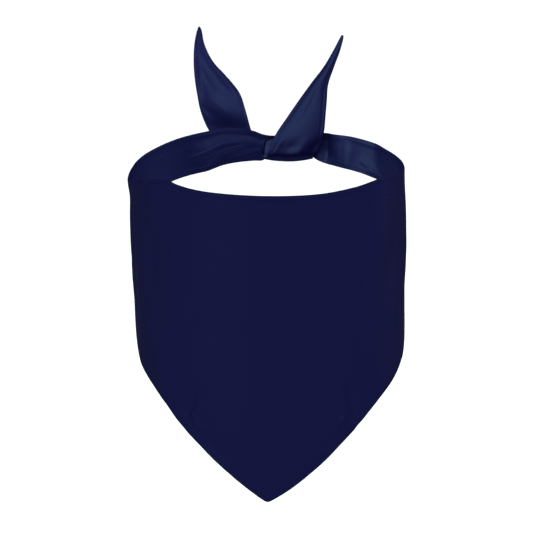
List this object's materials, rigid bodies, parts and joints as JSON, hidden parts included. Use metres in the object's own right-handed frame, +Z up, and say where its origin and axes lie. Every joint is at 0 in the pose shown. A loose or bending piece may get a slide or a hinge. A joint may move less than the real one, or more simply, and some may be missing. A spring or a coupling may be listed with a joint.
{
  "type": "tie-on dog bandana",
  "caption": "Tie-on pet bandana of thin navy cloth, worn round an open neck, with a pointed drape at the front and a half knot with two standing tails at the back.",
  "frame": {"origin": "middle of the neck loop, level with the front of the neck edge, where the wearer's neck holds it", "axes": "+Z up along the neck, -Y to the front with the pointed drape, +Y to the knot, +X to the wearer's left"},
  "size_m": [0.1663, 0.1487, 0.2596],
  "materials": {
    "navy_satin": "smooth satin-woven polyester, low sheen",
    "navy_hem": "turned and stitched edge of the same cloth"
  },
  "bodies": {
    "root": {"front_panel": "navy_satin", "front_panel_neck_hem": "navy_hem", "front_panel_right_hem": "navy_hem", "front_panel_left_hem": "navy_hem", "right_band": "navy_satin", "right_band_neck_hem": "navy_hem", "right_band_hem": "navy_hem", "left_band": "navy_satin", "left_band_neck_hem": "navy_hem", "left_band_hem": "navy_hem", "knot_right_tie": "navy_satin", "knot_left_tie": "navy_satin", "front_tail": "navy_satin", "front_tail_hem": "navy_hem", "front_tail_neck_hem": "navy_hem", "back_tail": "navy_satin", "back_tail_hem": "navy_hem", "back_tail_neck_hem": "navy_hem"}
  },
  "joints": []
}
